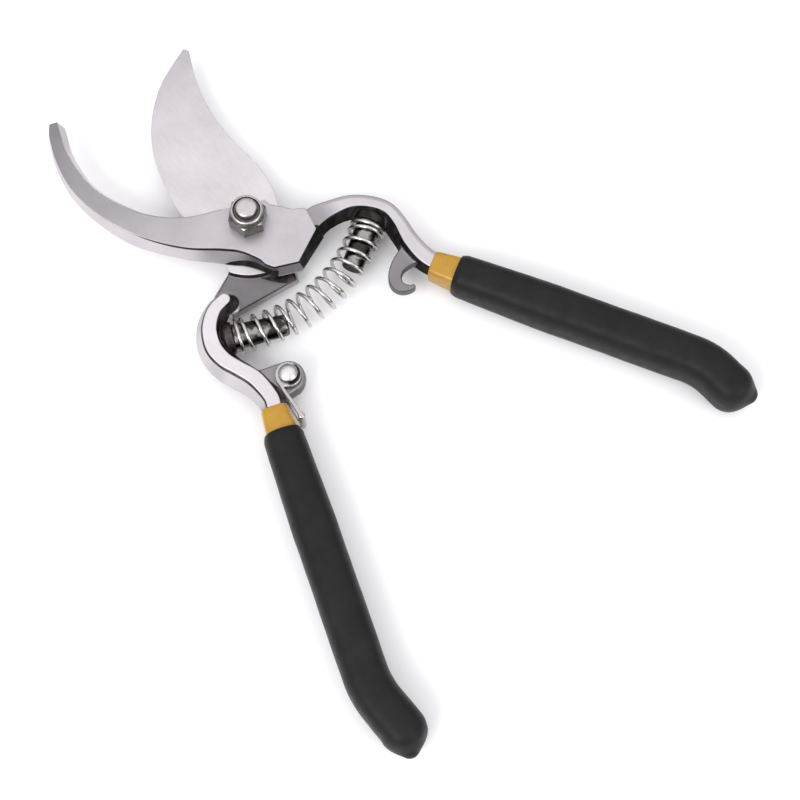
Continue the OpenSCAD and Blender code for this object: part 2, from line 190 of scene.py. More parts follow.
def beside(x, y, line):
    """Distance to an open line of points, +1 or -1 for its left or right, and the place along it."""
    nearest = np.full(np.broadcast(x, y).shape, 1e9, np.float32)
    side, place = np.ones(nearest.shape, np.float32), np.zeros(nearest.shape, np.float32)
    run = 0.0
    for (ax, ay), (bx, by) in zip(line[:-1, :2], line[1:, :2]):
        dx, dy = bx - ax, by - ay
        length = math.hypot(dx, dy)
        t = np.clip(((x - ax) * dx + (y - ay) * dy) / length**2, 0, 1)
        d = (x - ax - t * dx) ** 2 + (y - ay - t * dy) ** 2
        closer = d < nearest
        nearest = np.where(closer, d, nearest)
        side = np.where(closer, np.sign(dx * (y - ay) - dy * (x - ax)), side)
        place = np.where(closer, run + t * length, place)
        run += length
    return np.sqrt(nearest), side, place


def run_of(line):
    return np.concatenate([[0], np.cumsum(np.linalg.norm(np.diff(line[:, :2], axis=0), axis=1))])


# ---- fields ----

def cut(a, b, r=0.25):
    """Where a and b are both inside, with the edge between them rounded to radius r."""
    u, v = np.maximum(a + r, 0), np.maximum(b + r, 0)
    return np.sqrt(u * u + v * v) + np.minimum(np.maximum(a, b) + r, 0) - r


def join(a, b, r=0.4):
    """Where a or b is inside, with a fillet of radius r between them."""
    return -cut(-a, -b, r)


def ramp(value, start, end):
    t = np.clip((value - start) / (end - start), 0, 1)
    return t * t * (3 - 2 * t)


def slab(z, z0, z1):
    return np.maximum(z0 - z, z - z1)


def beyond(x, y, points):
    """How far each place lies outside a bar along points with half widths, and on which side of it."""
    line = curve(points, 8)
    d, side, place = beside(x, y, line)
    return d - np.interp(place, run_of(line), line[:, 2]), side


def band(x, y, z, base, top, z0, z1, r):
    """A bar along points with half widths: as wide as base at the parting plane, and as top at z0 and z1."""
    share = np.clip(np.abs(z - MID_Z) / max(z1 - MID_Z, MID_Z - z0), 0, 1)
    wall = beyond(x, y, base)[0] * (1 - share) + beyond(x, y, top)[0] * share
    return cut(wall * 0.92, slab(z, z0, z1), r)


def turned(x, y, start, angle):
    """Places measured along and across a direction from a start point."""
    c, s = heading(angle)
    return (x - start[0]) * c + (y - start[1]) * s, (y - start[1]) * c - (x - start[0]) * s


def along_stub(x, y, z, stub):
    u, v = turned(x, y, stub[0], stub[1])
    return u, np.sqrt(v * v + (z - MID_Z) ** 2)


def stub_field(x, y, z, stub):
    """A tapered stub with a rounded tip, on a seat for the coil that runs back into the shank as a cone."""
    u, rho = along_stub(x, y, z, stub)
    length = stub[2]
    cone = cut(rho - STUB_R0 - (STUB_R1 - STUB_R0) * np.clip(u / length, 0, 1), u - length, 0.9)
    seat = cut(rho - SEAT_R - 1.5 * np.minimum(u, 0), u - SEAT_H, 0.35)
    return np.maximum(join(np.maximum(cone, -u), seat, 0.3), -2.5 - u)


def hook_outline(flat, outer):
    return np.vstack([curve(HOOK_INNER), arc(PIVOT_ROUND_R, 104, -4), flat, curve(outer), HOOK_TIP])


def from_rivet(x, y):
    return np.hypot(x - RIVET_AT[0], y - RIVET_AT[1])


def past_flat(x, y):
    """How far a place lies beyond the flat's edge towards the hook arm's handle."""
    return 0.955 * (x - HOOK_FLAT_TOP[2][0]) - 0.295 * (y - HOOK_FLAT_TOP[2][1])


def hook_head(x, y, z):
    """The jaw and the flat, with walls that lean between two outlines and a chamfer along the jaw."""
    wide = outline_distance(x, y, hook_outline(HOOK_FLAT_BASE, HOOK_OUTER_BASE))
    narrow = outline_distance(x, y, hook_outline(HOOK_FLAT_TOP, HOOK_OUTER_TOP))
    wall = wide + (narrow - wide) * np.clip((z - MID_Z) / (HOOK_Z1 - MID_Z), 0, 1)
    head = cut(wall, slab(z, MID_Z, HOOK_Z1), 0.22)
    d, side, _ = beside(x, y, curve(HOOK_INNER_TOP))
    chamfer = (d * side - (HOOK_Z1 - z)) / math.sqrt(2)
    return np.maximum(head, chamfer)


def hook_shank(x, y, z):
    """The shank with its catch and stub. Its top rises to the flat where it leaves the head."""
    past = past_flat(x, y)
    rise = (HOOK_Z1 - SHANK_Z1 - 0.05) * (1 - ramp(past, 0, RISE_L)) * ramp(past, -1.2, -0.2)
    low_z = np.where(z > MID_Z, MID_Z + (z - MID_Z) * (SHANK_Z1 - MID_Z) / (SHANK_Z1 + rise - MID_Z), z)
    shank = band(x, y, low_z, HOOK_SHANK, HOOK_SHANK_TOP, SHANK_Z0, SHANK_Z1, 0.35)
    shank = join(shank, stub_field(x, y, z, HOOK_STUB), 0.6)
    catch = band(x, y, z, CATCH_LINE, CATCH_LINE, MID_Z - CATCH_T / 2, MID_Z + CATCH_T / 2, 0.35)
    return join(shank, catch, 0.8)


def hook_arm(x, y, z):
    """The whole forging, cut away below its head where the other arm's neck swings."""
    radius, angle = np.hypot(x, y), np.degrees(np.arctan2(y, x))
    at_corner = (angle > CORNER_SWEEP_FROM) & (angle < CORNER_SWEEP_TO)
    swept = np.where(at_corner, CORNER_SWEEP_R, NECK_SWEEP_R)
    body = join(hook_head(x, y, z), hook_shank(x, y, z), 0.2)
    body = cut(body, -np.maximum(radius - swept, z - MID_Z), 0.15)
    return cut(body, BOLT_R + RUNNING_GAP - radius, 0.2)


def blade_plate(x, y, z):
    """The blade, beveled from below along its edge, with the boss and the neck's leaning walls."""
    radius = np.hypot(x, y)
    edge = curve(BLADE_EDGE)
    outline = np.vstack([curve(BLADE_BACK), arc(NECK_ROUND_R, -20, -75), NECK_CORNERS, edge])
    wall = outline_distance(x, y, outline)
    neck = ramp(-y, 5.8, 6.8)
    top = BLADE_Z1 - NECK_DROP * ramp(radius, DISC_R, DISC_R + 0.7) * neck
    from_edge, _, _ = beside(x, y, edge[edge[:, 1] > -4])
    bevel = BEVEL_H * np.clip(1 - from_edge / BEVEL_W, 0, 1) ** 1.15 * (1 - neck)
    floor = BLADE_Z0 + bevel
    lean = NECK_LEAN * (top - z) * neck
    plate = cut(wall - lean, z - top, 0.12 + 0.25 * neck)
    return cut(plate, (floor - z) * 0.94, 0.05)


def latch_lug(x, y, z):
    lug = band(x, y, z, [LUG_ROOT, (*RIVET_AT, LUG_R)], [LUG_ROOT, (*RIVET_AT, LUG_R - 0.3)],
               2 * MID_Z - LUG_Z1, LUG_Z1, 0.5)
    return np.maximum(lug, LUG_ROOT_SIDE - x)


def blade_arm(x, y, z):
    shank = band(x, y, z, BLADE_SHANK, BLADE_SHANK_TOP, SHANK_Z0, SHANK_Z1, 0.35)
    body = join(blade_plate(x, y, z), shank, 0.9)
    body = join(body, stub_field(x, y, z, BLADE_STUB), 0.6)
    body = join(body, latch_lug(x, y, z), 0.7)
    body = cut(body, RIVET_R - from_rivet(x, y), 0.1)
    return cut(body, BOLT_R + RUNNING_GAP - np.hypot(x, y), 0.2)


def hexagon(x, y, turn):
    a = [np.abs(x * heading(turn + 30 + 60 * k)[0] + y * heading(turn + 30 + 60 * k)[1]) for k in range(3)]
    return np.maximum(np.maximum(a[0], a[1]), a[2]) - NUT_AF / 2


def pivot_bolt(x, y, z):
    radius = np.hypot(x, y)
    head = cut(hexagon(x, y, 0), slab(z, 0, BLADE_Z0), 0.12)
    head = cut(head, (radius - 5.25 - z * 1.7) * 0.5, 0.1)
    shank = cut(radius - BOLT_R, np.maximum(z - BOLT_Z1, -z), 0.5)
    dome = np.sqrt(radius**2 + (z - BOLT_Z1 + BOLT_DOME_R) ** 2) - BOLT_DOME_R
    return join(head, cut(shank, dome, 0.3), 0.3)


def pivot_nut(x, y, z):
    radius = np.hypot(x, y)
    body = cut(hexagon(x, y, NUT_TURN), slab(z, HOOK_Z1, NUT_HEX_Z1), 0.12)
    body = cut(body, (radius - 4.85 - (NUT_HEX_Z1 - z) * 1.6) * 0.53, 0.15)
    body = cut(body, (radius - 5.15 - (z - HOOK_Z1) * 1.6) * 0.53, 0.15)
    rise = np.clip((z - NUT_HEX_Z1) / (NUT_Z1 - NUT_HEX_Z1), 0, 1)
    collar = cut(radius - COLLAR_R + 0.3 * rise, slab(z, HOOK_Z1 + 2, NUT_Z1), 0.5)
    body = join(body, collar, 0.3)
    body = cut(body, BOLT_R + 0.1 - radius, 0.1)
    return cut(body, -cut(radius - INSERT_R, NUT_Z1 - INSERT_DEPTH - z, 0.1), 0.25)


def nut_marks(p, n):
    """The nut's sides and the wall under its rim carry painted shade, dull next to the bright rim."""
    side = ramp(-n[:, 2], -0.6, -0.35)
    painted_shoulder_shade = 0.75 * ramp(np.hypot(p[:, 0], p[:, 1]), 4.6, 4.8)
    return {"dark": most(side, painted_shoulder_shade) * ramp(-p[:, 2], 0.25 - NUT_Z1, 0.55 - NUT_Z1)}


def nut_insert(x, y, z):
    radius = np.hypot(x, y)
    ring = cut(radius - INSERT_R + 0.02, slab(z, NUT_Z1 - INSERT_DEPTH, NUT_Z1 - 0.6), 0.2)
    return cut(ring, BOLT_R + 0.02 - radius, 0.2)


def latch_rivet(x, y, z):
    radius = from_rivet(x, y)
    reach = SHANK_Z1 + LEG_GAP + BAIL_T + LEG_GAP - MID_Z
    off = np.abs(z - MID_Z)
    dome_h = RIVET_HEAD_H - RIVET_RIM_H
    ball = (RIVET_HEAD_R**2 + dome_h**2) / 2 / dome_h
    dome = np.sqrt(radius**2 + (off - reach - RIVET_HEAD_H + ball) ** 2) - ball
    heads = cut(cut(dome, radius - RIVET_HEAD_R, 0.3), reach - off, 0.2)
    return np.minimum(heads, np.maximum(radius - RIVET_R, off - reach - 0.5))


def latch_bail(x, y, z):
    """An eye and a leg at either side of the lug, and the crossbar between the two legs' ends."""
    u, v = turned(x, y, RIVET_AT, BAIL_ANGLE)
    reach = SHANK_Z1 + LEG_GAP - MID_Z
    off = np.abs(z - MID_Z)
    leg = join(np.hypot(u, v) - EYE_R, beyond(u, v, BAIL_LEG)[0], 0.5)
    leg = cut(leg, slab(off, reach, reach + BAIL_T), 0.3)
    leg = cut(leg, RIVET_R + RUNNING_GAP - np.hypot(u, v), 0.1)
    bar = cut(np.hypot(u - BAIL_L, v) - 1, off - reach - BAIL_T, 0.5)
    return join(leg, bar, 0.4)


# ---- handles ----

def handle_path(handle, step=1.0):
    """Points of a handle's centre line, from just before its collar to its end."""
    start, direction, straight, bend, radius, tail = handle
    bend_l = math.radians(abs(bend)) * radius
    s = np.arange(-COLLAR_L - 2, straight + bend_l + tail + 0.01, step)
    bent = math.copysign(1, bend) * np.clip((s - straight) / radius, 0, math.radians(abs(bend)))
    angle = math.radians(direction) + bent
    dx = np.cumsum(np.cos(angle)) * step
    dy = np.cumsum(np.sin(angle)) * step
    at_start = np.argmin(np.abs(s))
    return s, np.column_stack([start[0] + dx - dx[at_start], start[1] + dy - dy[at_start]])


def oval(v, w, a, b, power):
    """Close to the distance from a superellipse section with half width a and half height b."""
    q = (np.abs(v / a) ** power + np.abs(w / b) ** power) ** (1 / power)
    return (q - 1) * np.minimum(a, b)


def grip(handle):
    """The field of a dipped grip: thinner where it starts, and with a drip left at its end."""
    s_path, line = handle_path(handle)
    stations = [0, 1.2, 12, 26, s_path[-1]]
    half_widths = [GRIP_W - 1, GRIP_W - 0.6, GRIP_W - 0.3, GRIP_W, GRIP_W]
    half_heights = [GRIP_H - 1.5, GRIP_H - 1, GRIP_H - 0.2, GRIP_H, GRIP_H]

    def field(x, y, z):
        d, _, place = beside(x, y, line)
        s = place + s_path[0]
        a = np.interp(s, stations, half_widths)
        b = np.interp(s, stations, half_heights)
        wobble = 0.02 * np.sin(s * 0.55 + handle[1]) + 0.03 * np.sin(s * 0.21 + 2)
        body = oval(d, z - MID_Z, a + wobble, b + wobble, 2.7)
        u, v = turned(x, y, line[-1], handle[1])
        drip = cut(0.8 * (np.hypot(v, z - MID_Z) - DRIP_R + 0.7 * (u - CAP_L)),
                   np.maximum(u - CAP_L - DRIP_L, 2 - u), 0.9)
        body = join(body, drip, 1.6)
        past_start, _ = turned(x, y, handle[0], handle[1])
        return cut(body, -past_start, 0.55)

    return field


def undercoat(handle):
    """The field of the collar of undercoat that shows beside the grip, and runs a little way into it."""
    s_path, line = handle_path(handle)
    stations = [-COLLAR_L, -COLLAR_L + 1.5, 0, 6]

    def field(x, y, z):
        d, _, place = beside(x, y, line)
        s = place + s_path[0]
        a = TANG_W + np.interp(s, stations, [0.55, 0.8, 1.3, 1.1])
        b = TANG_H + np.interp(s, stations, [0.55, 0.8, 1.2, 0.9])
        body = oval(d, z - MID_Z, a, b, 4.5)
        u, _ = turned(x, y, handle[0], handle[1])
        body = cut(body, np.maximum(-COLLAR_L - u, u - COLLAR_REACH), 0.45)
        hollow = oval(d, z - MID_Z, TANG_W - 0.5, TANG_H - 0.2, 6)
        return cut(body, -hollow, 0.1)

    return field


# ---- meshes ----

def net(field, axes):
    """Corners and quads round the zero level of a field sampled on three lists of coordinates."""
    inside = field < 0
    shape = np.array(field.shape)
    corners = [np.array(c) for c in np.ndindex(2, 2, 2)]
    parts = [inside[tuple(slice(c, n - 1 + c) for c, n in zip(k, shape))] for k in corners]
    count = sum(part.astype(np.uint8) for part in parts)
    mixed = (count > 0) & (count < 8)
    cells = np.argwhere(mixed)
    number = np.full(mixed.shape, -1, np.int64)
    number[mixed] = np.arange(len(cells))
    values = {tuple(k): field[tuple((cells + k).T)] for k in corners}
    total, hits = np.zeros((len(cells), 3)), np.zeros((len(cells), 1))
    for k in corners:
        for axis in np.flatnonzero(k == 0):
            other = k.copy()
            other[axis] = 1
            a, b = values[tuple(k)], values[tuple(other)]
            crosses = (a < 0) != (b < 0)
            t = np.where(crosses, a / np.where(crosses, a - b, 1), 0)[:, None]
            total += np.where(crosses[:, None], k + t * (other - k), 0)
            hits += crosses[:, None]
    local = total / hits
    points = np.column_stack([
        axes[i][cells[:, i]] + local[:, i] * np.diff(axes[i])[cells[:, i]] for i in range(3)])
    quads = []
    for axis in range(3):
        u, v = (axis + 1) % 3, (axis + 2) % 3
        low = inside.take(np.arange(shape[axis] - 1), axis)
        high = inside.take(np.arange(1, shape[axis]), axis)
        edges = np.argwhere(low != high)
        around = [edges - np.eye(3, dtype=int)[u] * i - np.eye(3, dtype=int)[v] * j
                  for i, j in ((0, 0), (1, 0), (1, 1), (0, 1))]
        ring = np.column_stack([number[tuple(e.T)] for e in around])
        leaving = low[tuple(edges.T)]
        quads += [ring[leaving], ring[~leaving][:, ::-1]]
    return points, np.vstack(quads)


def slope(points, field, step):
    """Unit normals of a field at points."""
    g = np.column_stack([
        field(*(points + o).T) - field(*(points - o).T) for o in np.eye(3) * step])
    return g / np.maximum(np.linalg.norm(g, axis=1, keepdims=True), 1e-9)


def make_object(name, points, faces, normals=None, marks=None):
    mesh = bpy.data.meshes.new(name)
    mesh.from_pydata(points * MM, [], faces.tolist())
    mesh.shade_smooth()
    if normals is not None:
        mesh.normals_split_custom_set_from_vertices(normals)
    for mark, values in (marks or {}).items():
        mesh.attributes.new(mark, "FLOAT", "POINT").data.foreach_set("value", values.astype(np.float32))
    obj = bpy.data.objects.new(name, mesh)
    bpy.context.scene.collection.objects.link(obj)
    return obj


def carve(name, field, low, high, step, levels=None, marks=None):
    """A mesh of a field inside a box. levels are the heights to sample, if they aren't even."""
    axes = [np.arange(a, b + step, step) for a, b in zip(low, high)]
    if levels is not None:
        axes[2] = np.array(levels)
    samples = np.array(field(*(a.astype(np.float32) for a in np.ix_(*axes))))
    for axis in range(3):
        outer = np.moveaxis(samples, axis, 0)
        outer[[0, -1]] = np.maximum(outer[[0, -1]], step)
    points, quads = net(samples, axes)
    normals = slope(points, field, step / 2)
    return make_object(name, points, quads, normals, marks(points, normals) if marks else None)


def carve_on(node, name, field, step, pad=0.8, within=None, **more):
    """carve() in the box of a CAD node, or in the part of it that is given."""
    low, high = ([c / MM for c in corner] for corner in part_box(node))
    if within:
        low, high = np.maximum(low, within[0]), np.minimum(high, within[1])
    return carve(name, field, np.array(low) - pad, np.array(high) + pad, step, **more)


# ---- finish marks, and painted light and shade ----
# "dark" is above zero where the forging was left unground, and where shade is painted, and close to
# millimetres from that area's border. "shine" is how much light the ground steel returns, with painted light
# and shade in it. "polish" is 1 on the glossy stubs.

# Direction of the lower edge of the hook arm's flat, in degrees from +X
FLAT_EDGE_ANGLE = 20.66


def least(*fields):
    return np.minimum.reduce(np.broadcast_arrays(*fields))


def most(*fields):
    return np.maximum.reduce(np.broadcast_arrays(*fields))


def shift(a, b, share):
    return a + (b - a) * share


def on_stub(x, y, z, stub):
    """Above zero on the seat and the stub, and 0 to 1 for the polished stub alone."""
    u, rho = along_stub(x, y, z, stub)
    polish = ramp(u, SEAT_H - 0.2, SEAT_H + 0.2) * ramp(stub[2] - u, 0.1, 0.7) * (rho < STUB_R0 + 0.4)
    return least(u + 0.9, SEAT_R + 0.4 - rho), polish


def hook_marks(p, n):
    """The hook arm is unground on its inner walls and dark along one edge. The dark in the hollow below the
    jaw is painted shade.
    """
    x, y, z = p.T
    wall = ramp(-n[:, 2], -0.6, -0.4)
    head_edge = outline_distance(x, y, hook_outline(HOOK_FLAT_TOP, HOOK_OUTER_TOP))
    shank_edge, side = beyond(x, y, HOOK_SHANK_TOP)
    catch_edge, _ = beyond(x, y, CATCH_LINE)
    from_outer, _, _ = beside(x, y, np.vstack([HOOK_FLAT_TOP[2:], curve(HOOK_OUTER_TOP)]))
    past = past_flat(x, y)

    catch = least(0.5 - catch_edge, MID_Z + CATCH_T / 2 + 0.2 - z)
    stub, polish = on_stub(x, y, z, HOOK_STUB)
    inner_wall = least(shank_edge + 0.08, -side, 4.5 - shank_edge, head_edge + 0.1, -catch, past + 0.5)
    along, across = turned(x, y, HOOK_FLAT_TOP[3], FLAT_EDGE_ANGLE)
    flat_wall = least(0.1 - across, along, 3.4 - head_edge, shank_edge + 0.08)
    edge_line = least(head_edge + 0.1, z - 11.35 - 0.75 * ramp(y, 8, 26), 1.2 - from_outer)
    # The hollow: painted shade on the lower part of the head's outer wall by the pivot
    hollow_z1 = np.interp(y, [-17, -13.6, -11, -8.5, -5, -3.5], [10.2, 10.3, 10.1, 9.7, 8.6, 7.4])
    hollow = least(head_edge - 0.1, hollow_z1 - z, -0.4 - x, y + 17.8 - 0.7 * (x + 5))
    dark = most(inner_wall, flat_wall, edge_line, hollow, stub)

    # The jaw's top dims towards its tip, a painted reflection
    shine_and_shade = np.interp(y, [-4, 0, 20, 40, 58], [0.58, 0.56, 0.46, 0.36, 0.29])
    # The shank's top brightens away from the flat, and has a duller strip along its outer side
    on_shank = ramp(past, -0.4, 0.4) * ramp(-y, 5.5, 6.5)
    shine_and_shade = shift(shine_and_shade, np.interp(past, [0, 1.5, 3.5, 6, 9.5], [0.33, 0.39, 0.43, 0.5, 0.64]), on_shank)
    outer_strip = ramp(shank_edge, -1.3, -1) * (side > 0) * ramp(x, 16, 22)
    shine_and_shade = shift(shine_and_shade, 0.42, outer_strip)
    # The walls, which are duller near the pivot and under the flat, where shade is painted
    wall_shine = np.interp(y, [-9, -6, -1, 4], [0.2, 0.24, 0.5, 0.66])
    under_flat = ramp(x - 2 * y, 29, 31) * (past < 0)
    wall_shine = shift(wall_shine, shift(0.3, 0.6, ramp(-z, -8.4, -7.8)), under_flat)
    shine_and_shade = shift(shine_and_shade, shift(wall_shine, 0.66, ramp(past, 0, 2)), wall)
    # The chamfer along the jaw's inner side is the brightest, a painted highlight, and the catch is dull
    from_inner, _, _ = beside(x, y, curve(HOOK_INNER))
    slanted = ramp(n[:, 2], 0.5, 0.62) * ramp(-n[:, 2], -0.95, -0.85)
    shine_and_shade = shift(shine_and_shade, 0.9, slanted * ramp(-from_inner, -2.8, -2.2) * ramp(y, 18, 34))
    catch_shine = shift(0.27, 0.12, most(wall, ramp(catch_edge, -0.35, -0.15)))
    shine_and_shade = np.where(catch > 0, catch_shine, shine_and_shade)
    return {"dark": dark, "shine_and_shade": shine_and_shade, "polish": polish}


def blade_marks(p, n):
    """The blade arm is unground on its inner walls and at the shank's root, and dark round the boss. Part of
    the dark round the boss, and the dark on the neck under the hook arm's flat, is painted shadow.
    """
    x, y, z = p.T
    wall = ramp(-n[:, 2], -0.6, -0.4)
    radius = np.hypot(x, y)
    shank_edge, side = beyond(x, y, BLADE_SHANK_TOP)
    lug_edge, _ = beyond(x, y, [LUG_ROOT, (*RIVET_AT, LUG_R)])
    lug = least(0.9 - lug_edge, LUG_Z1 + 0.2 - z, shank_edge - 0.2, side)
    neck = least(radius - DISC_R, -y - 5.8, shank_edge - 2.5)

    stub, polish = on_stub(x, y, z, BLADE_STUB)
    inner_wall = least(shank_edge + 0.08, side, 3.2 - shank_edge, z - NECK_Z1 - 0.3, -lug, -13.2 - y)
    root_w = 0.35 + 1.4 * ramp(-y, 39, 46)
    root = least(shank_edge + 0.08, side, root_w - shank_edge, y + 49, -36 - y)
    edge_line = least(shank_edge + 0.1, -side, z - 10.35, -x - 20)
    # A dark line round the boss: thin at first, and widening into painted shadow where the hook arm's flat
    # overhangs it
    disc_line = least(0.3 + 0.9 * ramp(x, -9, -4) - np.abs(radius - DISC_R - 0.35), -y - 5.8,
                      BLADE_Z1 - 0.1 - z, z - NECK_Z1 - 0.1)
    # Painted shadow on the neck, along the edge of the hook arm's flat above it
    below_flat, _ = beyond(x, y, [(-8, -14, 0.3), (-5.2, -17.5, 0.9), (-2.2, -19.4, 1.9), (1.3, -21.3, 2)])
    painted_step_shadow = least(-below_flat, NECK_Z1 + 0.3 - z, z - NECK_Z1 + 0.4)
    neck_line = least(neck, z - NECK_Z1 + 0.35, NECK_Z1 - 0.06 - z)
    dark = most(inner_wall, root, stub, edge_line, disc_line, painted_step_shadow, neck_line)

    # The blade dims towards its tip
    shine_and_shade = np.interp(y, [0, 25, 45, 56], [0.72, 0.69, 0.63, 0.54])
    # The shank's top and its outer wall
    shine_and_shade = shift(shine_and_shade, np.interp(y, [-48, -36, -20], [0.68, 0.74, 0.74]), ramp(z, 10, 10.5))
    shine_and_shade = shift(shine_and_shade, 0.46, wall * ramp(shank_edge, -0.2, 0.2) * ramp(-x, 20, 22))
    # The forged neck, the shank's end on it, and the lug
    on_neck = ramp(neck, -0.1, 0.1) * ramp(-z, -NECK_Z1 - 0.4, -NECK_Z1 - 0.2)
    shine_and_shade = shift(shine_and_shade, shift(0.25, 0.42, wall), on_neck)
    near_top_edge = ramp(shank_edge, -0.1, 0.2) * ramp(-shank_edge, -3, -2.6)
    shine_and_shade = shift(shine_and_shade, 0.25, near_top_edge * ramp(x, -22.5, -21.5) * ramp(y, -17, -15))
    shine_and_shade = shift(shine_and_shade, shift(0.3, 0.16, wall), ramp(lug, 0, 0.2))
    return {"dark": dark, "shine_and_shade": shine_and_shade, "polish": polish}


def bail_marks(p, n):
    """Painted shade lies on the eye's top at one side of the rivet's head."""
    dx, dy = p[:, 0] - RIVET_AT[0], p[:, 1] - RIVET_AT[1]
    side = ramp(-dy + 0.6 * dx, 0.2, 1.4) * ramp(dx, -2.4, -1.6)
    return {"dark": side * ramp(EYE_R - np.hypot(dx, dy), 0.2, 0.35) * ramp(n[:, 2], 0.7, 0.9)}


def rivet_marks(p, n):
    """The rivet's upright side is dull: painted shade."""
    return {"dark": ramp(-n[:, 2], -0.55, -0.35)}


# ---- materials ----

def nodes_of(name):
    material = bpy.data.materials.new(name)
    material.use_nodes = True
    tree = material.node_tree
    return material, tree, tree.nodes["Principled BSDF"]


def add(tree, kind, inputs=(), **settings):
    """A node with its settings, and inputs given as values or as other nodes' outputs."""
    node = tree.nodes.new(kind)
    for key, value in settings.items():
        setattr(node, key, value)
    for key, value in dict(inputs).items():
        if isinstance(value, bpy.types.NodeSocket):
            tree.links.new(value, node.inputs[key])
        else:
            node.inputs[key].default_value = value
    return node


def place_of(tree, scale=(1, 1, 1)):
    """The piece's own place in metres, stretched by scale."""
    where = add(tree, "ShaderNodeTexCoord").outputs["Object"]
    return add(tree, "ShaderNodeMapping", {"Vector": where, "Scale": scale}).outputs[0]


def noise(tree, vector, scale, detail=3.0, roughness=0.5):
    return add(tree, "ShaderNodeTexNoise", {
        "Vector": vector, "Scale": scale, "Detail": detail, "Roughness": roughness}).outputs["Fac"]


def spread(tree, value, low, high, start=0.3, end=0.7):
    """A 0 to 1 pattern stretched to run from low to high."""
    return add(tree, "ShaderNodeMapRange", {
        "Value": value, "From Min": start, "From Max": end, "To Min": low, "To Max": high}).outputs[0]


def mix(tree, share, a, b):
    node = add(tree, "ShaderNodeMix", data_type="RGBA")
    for key, value in ((0, share), (6, a), (7, b)):
        if isinstance(value, bpy.types.NodeSocket):
            tree.links.new(value, node.inputs[key])
        else:
            node.inputs[key].default_value = value if key == 0 else (*value, 1)
    return node.outputs[2]


def math_node(tree, operation, a, b):
    return add(tree, "ShaderNodeMath", {0: a, 1: b}, operation=operation).outputs[0]


def bump(tree, shader, height, strength, distance):
    made = add(tree, "ShaderNodeBump", {"Height": height, "Strength": strength, "Distance": distance})
    tree.links.new(made.outputs[0], shader.inputs["Normal"])


def attribute(tree, name):
    return add(tree, "ShaderNodeAttribute", attribute_name=name).outputs["Fac"]


def forged_steel(name, tint, forged):
    """Ground steel with fine grinding lines. It is near black where the forging is left as it was and where
    shade is painted, and the polished stubs carry painted reflections in grey patches.
    """
    material, tree, shader = nodes_of(name)
    where = place_of(tree)
    dark = spread(tree, attribute(tree, "dark"), 0, 1, -0.1, 0.1)
    polish = attribute(tree, "polish")
    clouds = noise(tree, where, 90, 4)
    lines = noise(tree, place_of(tree, (1, 0.06, 1)), 6500, 2)
    shine_and_shade = math_node(tree, "MULTIPLY", attribute(tree, "shine_and_shade"), spread(tree, clouds, 1.03, 0.95))
    shine_and_shade = math_node(tree, "MULTIPLY", shine_and_shade, spread(tree, lines, 1.03, 0.95))
    ground = mix(tree, shine_and_shade, (0, 0, 0), tint)
    scale = noise(tree, where, 420, 3)
    black = mix(tree, spread(tree, scale, 0, 1, 0.42, 0.62), forged, [c * 2.4 for c in forged])
    # Grey patches on the polished stubs are painted reflections
    patches = spread(tree, noise(tree, where, 260, 2), 0, 1, 0.44, 0.56)
    painted_stub_reflections = mix(tree, patches, (0.04, 0.037, 0.035), (0.3, 0.29, 0.28))
    unground = mix(tree, polish, black, painted_stub_reflections)
    tree.links.new(mix(tree, dark, ground, unground), shader.inputs["Base Color"])
    rough = math_node(tree, "ADD", spread(tree, clouds, 0.36, 0.5), spread(tree, lines, -0.05, 0.05))
    rough_dark = spread(tree, polish, 0.5, 0.13, 0, 1)
    keep = math_node(tree, "MULTIPLY", rough, math_node(tree, "SUBTRACT", 1.0, dark))
    tree.links.new(math_node(tree, "ADD", keep, math_node(tree, "MULTIPLY", rough_dark, dark)),
                   shader.inputs["Roughness"])
    shader.inputs["Metallic"].default_value = 1
    bump(tree, shader, math_node(tree, "ADD", lines, noise(tree, where, 900, 3)), 0.12, 0.00005)
    return material


def plated(name, colour, rough_low, rough_high, pit=0.08, shaded=None):
    """Bright plating with faint mottling and handling marks, and painted shade in a duller colour where
    "dark" is set.
    """
    material, tree, shader = nodes_of(name)
    where = place_of(tree)
    mottle = noise(tree, where, 500, 4)
    plating = mix(tree, spread(tree, mottle, 0, 0.5), colour, [c * 0.72 for c in colour])
    if shaded:
        dull = mix(tree, spread(tree, noise(tree, where, 800, 3), 0, 1), shaded, [c * 2.5 for c in shaded])
        plating = mix(tree, attribute(tree, "dark"), plating, dull)
    tree.links.new(plating, shader.inputs["Base Color"])
    rough = spread(tree, noise(tree, where, 1500, 3), rough_low, rough_high)
    tree.links.new(rough, shader.inputs["Roughness"])
    shader.inputs["Metallic"].default_value = 1
    bump(tree, shader, noise(tree, where, 2200, 3), pit, 0.00005)
    return material


def vinyl(name, colour, worn, rough_low, rough_high, specular, grain_scale, grain, chalk=0):
    """Dipped vinyl: even colour with a faint cloudiness, a fine skin grain, and a chalky rim."""
    material, tree, shader = nodes_of(name)
    where = place_of(tree)
    clouds = spread(tree, noise(tree, where, 160, 4), 0, 1)
    tree.links.new(mix(tree, clouds, colour, worn), shader.inputs["Base Color"])
    rough = spread(tree, noise(tree, where, 400, 3), rough_low, rough_high)
    tree.links.new(rough, shader.inputs["Roughness"])
    shader.inputs["Specular IOR Level"].default_value = specular
    shader.inputs["Sheen Weight"].default_value = chalk
    shader.inputs["Sheen Roughness"].default_value = 0.3
    bump(tree, shader, noise(tree, where, grain_scale, 4), grain, 0.00008)
    return material


